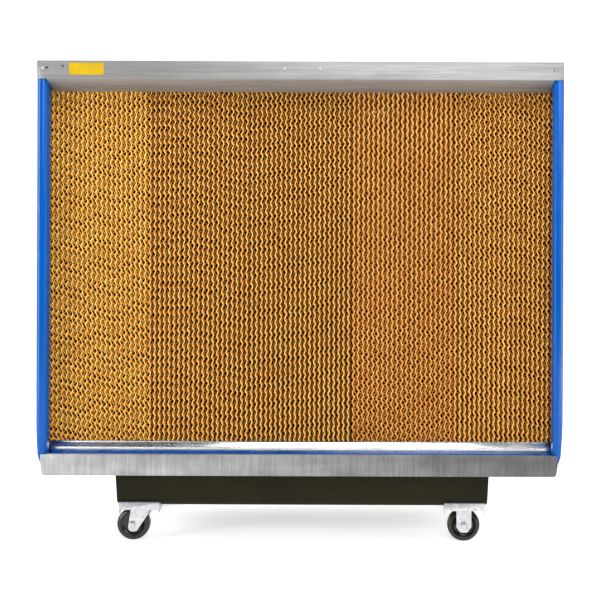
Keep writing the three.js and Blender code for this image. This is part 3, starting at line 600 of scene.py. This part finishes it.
def make_pad(index, flipped, edge, inside, stagger, shade):
    """A block of glued sheets. Every other sheet has the shallow flutes and gets a darker, redder copy of
    the paper: painted shade of its deep channels.
    """
    node = f"pad_{index}"
    low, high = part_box(node)
    rng = np.random.default_rng(40 + index)
    pitch = (high.x - low.x) / SHEETS_PER_PAD
    points, quads, which, start = [], [], [], 0
    phases = [rng.uniform(0, 2 * math.pi), rng.uniform(0, 2 * math.pi)]
    for i in range(SHEETS_PER_PAD):
        kind = i % 2
        angle, direction = ((STEEP, 1), (SHALLOW, -1))[kind]
        phases[kind] += rng.normal(stagger, 0.8)
        x = low.x + pitch * (i + 0.5) + rng.normal(0, 0.10 * MM)
        turned = -direction if flipped else direction
        sheet_points, sheet_quads = sheet_arrays(x, low, high, angle, turned, phases[kind],
                                                 THICKNESSES[kind], rng)
        points.append(sheet_points)
        quads.append(sheet_quads + start)
        which.append(np.full(len(sheet_quads), kind))
        start += len(sheet_points)
    points = np.concatenate(points)
    points[:, 0] = np.clip(points[:, 0], low.x, high.x)
    # The second look is a painted shade copy of the paper, for the shallow-flute sheets
    looks = [cellulose(f"cellulose_{index}", edge, inside, low.y),
             cellulose(f"cellulose_{index}_deep", painted_shade_of(edge, shade), painted_shade_of(inside, shade * 0.6), low.y)]
    pad = make_quads(f"media_{index}", points, np.concatenate(quads), looks, np.concatenate(which),
                     "cabinet", 50)
    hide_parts(node)


def make_pads():
    amber = (1.0, 0.57, 0.13)
    honey = (1.0, 0.66, 0.15)
    rust = (0.98, 0.52, 0.125)
    inner = (0.66, 0.25, 0.028)
    # The last number for each pad sets how far its shallow-flute sheets are darkened as painted shade
    make_pad(1, True, honey, inner, 0.9, 0.9)
    make_pad(2, False, amber, inner, 0.2, 0.45)
    make_pad(3, False, amber, inner, -0.3, 0.42)
    make_pad(4, True, rust, inner, 1.6, 0.75)
    make_pad(5, False, amber, inner, 0.7, 0.6)


# Fan guard and castor wheels

def make_guard():
    """Concentric rings on spokes, over a shallow dome with a plain disc in its middle."""
    low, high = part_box("fan_guard")
    centre = (low + high) / 2
    outer = (high.x - low.x) / 2 - 5 * MM
    top = high.y
    rim = low.y + 5 * MM

    def height(radius):
        return rim + (top - rim - 6 * MM) * (1 - (radius / outer) ** 2)

    wires = Parts()
    for i in range(GUARD_RINGS + 1):
        radius = DISC_RADIUS + (outer - DISC_RADIUS) * i / GUARD_RINGS
        wire = 4 * MM if i == GUARD_RINGS else 1.6 * MM
        circle = []
        for k in range(GUARD_SIDES):
            angle = 2 * math.pi * k / GUARD_SIDES
            circle.append((centre.x + radius * math.cos(angle), height(radius),
                           centre.z + radius * math.sin(angle)))
        wires.tube(circle, wire, 6, closed=True)
    for i in range(GUARD_SPOKES):
        angle = 2 * math.pi * (i + 0.5) / GUARD_SPOKES
        spoke = []
        for k in range(9):
            radius = SPOKE_START + (outer - SPOKE_START) * k / 8
            spoke.append((centre.x + radius * math.cos(angle), height(radius) - 3.6 * MM,
                          centre.z + radius * math.sin(angle)))
        wires.tube(spoke, 2.4 * MM, 6)
    y = height(0)
    disc = [(DISC_RADIUS, y - 3 * MM), (DISC_RADIUS, y + 1 * MM), (60 * MM, y + 4 * MM), (30 * MM, top),
            (1 * MM, top)]
    wires.turned(disc, (centre.x, 0, centre.z), "y", 48)
    guard = wires.make("guard_wires", "black_plastic", "cabinet")
    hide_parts("fan_guard")


def make_wheel(corner):
    """A hard plastic wheel with a raised rim on each face, a dished web and a hub."""
    node = f"castor_wheel_{corner}"
    low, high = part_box(node)
    centre = (low + high) / 2
    radius = (high.z - low.z) / 2
    half = (high.y - low.y) / 2
    bore = 6.4 * MM
    outline = [(bore, half), (13 * MM, half), (14.5 * MM, half - 1.5 * MM), (15.5 * MM, half - 6 * MM),
               (18 * MM, half - 7.5 * MM), (29 * MM, half - 7 * MM), (34 * MM, half - 5 * MM),
               (36.5 * MM, half - 1.2 * MM), (38 * MM, half - 0.2 * MM), (40.5 * MM, half - 0.6 * MM),
               (41.5 * MM, half - 1.8 * MM), (44 * MM, half - 2.2 * MM), (radius - 2.4 * MM, half - 3 * MM),
               (radius - 0.8 * MM, half - 5 * MM), (radius, half - 8 * MM)]
    profile = outline + [(r, -h) for r, h in reversed(outline)]
    wheel = Parts()
    wheel.turned(profile, centre, "y", 72, closed=True)
    piece = wheel.make(f"wheel_{corner}", "wheel_plastic", f"wheel_{corner}", 60)
    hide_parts(node)


# Small details

def make_label():
    """A blank yellow sticker near the left end of the fascia."""
    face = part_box("top_fascia")[0].y
    label = Parts()
    label.slab((LABEL_LEFT, face - 0.5 * MM, LABEL_BOTTOM), (LABEL_RIGHT, face - 0.05 * MM, LABEL_TOP))
    label.make("label", "yellow_vinyl", "cabinet", bevel=0.15 * MM)


def make_fascia_marks():
    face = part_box("top_fascia")[0].y
    marks = Parts()
    # The slot and the hole are thin dark patches laid on the face: painted shade standing in for the
    # openings
    marks.slab((SLOT_LEFT, face - 0.12 * MM, SLOT_BOTTOM), (SLOT_RIGHT, face - 0.02 * MM, SLOT_TOP))
    hole = [(3.2 * MM, -0.02 * MM), (3.0 * MM, -0.15 * MM), (0.5 * MM, -0.15 * MM)]
    marks.turned(hole, (HOLE_X, face, HOLE_Z), "y", 20)
    marks.make("fascia_holes", "rubber", "cabinet")
    screws = Parts()
    for x, size in ((0.743, 2.2 * MM), (0.7535, 1.6 * MM)):
        head = [(size, -0.02 * MM), (size * 0.9, -1.0 * MM), (0.5 * size, -1.4 * MM),
                (0.1 * size, -1.4 * MM)]
        screws.turned(head, (x, face, SCREW_Z), "y", 16)
    screws.make("fascia_screws", "dark_paint", "cabinet")


def make_castor_bolts():
    plates = (("front_left", "castor_plate_front_left"), ("rear_left", "castor_plate_rear_left"),
              ("front_right", "castor_fork_front_right"), ("rear_right", "castor_fork_rear_right"))
    for corner, plate in plates:
        low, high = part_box(plate)
        bolts = Parts()
        bottom = high.z - 3 * MM
        for x in (low.x + 8 * MM, high.x - 8 * MM):
            for y in ((low.y + high.y) / 2 - 22 * MM, (low.y + high.y) / 2 + 22 * MM):
                bolts.turned([(6 * MM, 0), (6 * MM, -4.5 * MM), (5 * MM, -5.5 * MM), (3 * MM, -5.5 * MM),
                              (3 * MM, -9 * MM), (0.3 * MM, -9 * MM)], (x, y, bottom), "z", 6)
        bolts.make(f"castor_bolts_{corner}", "zinc_plate", "cabinet")


def make_blade_rivets():
    hub = middle("fan_hub")
    rivets = Parts()
    for i in range(BLADE_COUNT):
        turn = -i * math.pi / 2
        for along, across in ((110, -12), (110, 12), (150, -12), (150, 12)):
            side, normal = across * MM, 1.5 * MM + 4 * MM
            x = along * MM
            y = side * math.sin(BLADE_PITCH) + normal * math.cos(BLADE_PITCH)
            z = side * math.cos(BLADE_PITCH) - normal * math.sin(BLADE_PITCH)
            place = Vector((x * math.cos(turn) + z * math.sin(turn), y,
                            -x * math.sin(turn) + z * math.cos(turn)))
            origin = Vector((hub.x, BLADE_Y, FAN_Z)) + place
            head = [(4.5 * MM, -3 * MM), (4.2 * MM, 1.2 * MM), (2.5 * MM, 2.4 * MM), (0.4 * MM, 2.8 * MM)]
            rivets.turned(head, origin, "y", 12)
    rivets.make("blade_rivets", "zinc_plate", "fan")


def make_control_details():
    low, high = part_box("control_cover")
    knob = middle("speed_knob")
    switch = middle("pump_switch")
    face = high.y
    screws = Parts()
    for x in (low.x + 10 * MM, high.x - 10 * MM):
        for z in (low.z + 10 * MM, high.z - 10 * MM):
            screws.turned([(4 * MM, 0), (3.8 * MM, 1.2 * MM), (2.4 * MM, 2.2 * MM), (0.4 * MM, 2.4 * MM)],
                          (x, face, z), "y", 16)
    screws.make("cover_screws", "zinc_plate", "cabinet")
    ticks = Parts()
    for k in range(DIAL_TICKS):
        angle = math.radians(DIAL_START + DIAL_STEP * k)
        inner, outer = 26 * MM, 31 * MM
        direction = Vector((-math.sin(angle), 0, math.cos(angle)))
        across = Vector((math.cos(angle), 0, math.sin(angle))) * 0.9 * MM
        centre = Vector((knob.x, face, knob.z))
        corners = [centre + direction * inner - across, centre + direction * inner + across,
                   centre + direction * outer + across, centre + direction * outer - across]
        raised = [c + Vector((0, 0.3 * MM, 0)) for c in corners]
        faces = [[0, 1, 2, 3], [7, 6, 5, 4], [0, 4, 5, 1], [1, 5, 6, 2], [2, 6, 7, 3], [3, 7, 4, 0]]
        ticks.add(corners + raised, faces)
    ticks.make("dial_ticks", "rubber", "cabinet")
    bezel = Parts()
    wide, tall, thick = 13 * MM, 18 * MM, 3 * MM
    for x in (switch.x - wide, switch.x + wide - thick):
        bezel.slab((x, face, switch.z - tall), (x + thick, face + 2.5 * MM, switch.z + tall))
    for z in (switch.z - tall, switch.z + tall - thick):
        bezel.slab((switch.x - wide + thick, face, z), (switch.x + wide - thick, face + 2.5 * MM, z + thick))
    bezel.make("switch_bezel", "black_plastic", "cabinet", bevel=0.4 * MM)


# CAD nodes

def dress_nodes():
    """Gives every CAD node its look, smooth round faces and, on folded metal, slightly eased edges."""
    slots = {entry["node"]: entry["material_slot"] for entry in frame["record"]["subparts"]}
    for name, node in nodes.items():
        key = slots[name]
        if key == "cellulose":
            continue
        if name == "bottom_rail":
            key = "stainless_upright"
        if name.startswith("fascia_bolt"):
            key = "zinc_plate"
        node.data.materials.clear()
        node.data.materials.append(LOOKS[key])
        for polygon in node.data.polygons:
            polygon.use_smooth = True
        weld = node.modifiers.new("weld", "WELD")
        weld.merge_threshold = 0.01 * MM
        if key in ("stainless", "stainless_upright", "polished_steel", "zinc_plate"):
            bevel = node.modifiers.new("eased", "BEVEL")
            bevel.width = 0.35 * MM
            bevel.segments = 2
            bevel.limit_method = "ANGLE"
            bevel.angle_limit = math.radians(35)
        split = node.modifiers.new("creases", "EDGE_SPLIT")
        split.split_angle = math.radians(32)


set_camera()
set_studio()
set_floor()
make_pads()
make_guard()
for wheel_corner in ("front_left", "rear_left", "front_right", "rear_right"):
    make_wheel(wheel_corner)
make_label()
make_fascia_marks()
make_castor_bolts()
make_blade_rivets()
make_control_details()
dress_nodes()
